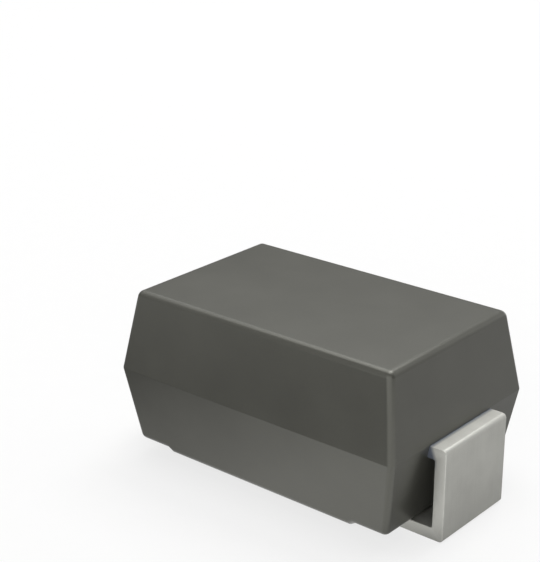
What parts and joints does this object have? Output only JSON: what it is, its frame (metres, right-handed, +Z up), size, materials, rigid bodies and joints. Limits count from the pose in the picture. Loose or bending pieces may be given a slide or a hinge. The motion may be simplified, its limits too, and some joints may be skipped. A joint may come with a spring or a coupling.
{
  "type": "zener diode",
  "caption": "Surface-mount zener diode: a drafted dark epoxy block cast around a silicon die, with a flat tin-plated lead folded down and under each end as a solder foot.",
  "frame": {"origin": "middle of the part in plan, on the plane that the two solder feet stand on", "axes": "+X along the length, towards the anode lead; +Y across the width; +Z up, from the feet to the bare top face"},
  "size_m": [0.0048, 0.0028, 0.0023],
  "materials": {
    "epoxy": "smooth satin moulding compound, dark warm grey",
    "tinned_copper": "matte tin plating over copper strip",
    "silicon": "lapped silicon",
    "solder": "reflowed solder"
  },
  "bodies": {
    "root": {"moulded_body": "epoxy", "cathode_lead": "tinned_copper", "anode_lead": "tinned_copper", "silicon_die": "silicon", "cathode_solder": "solder", "anode_solder": "solder"}
  },
  "joints": []
}
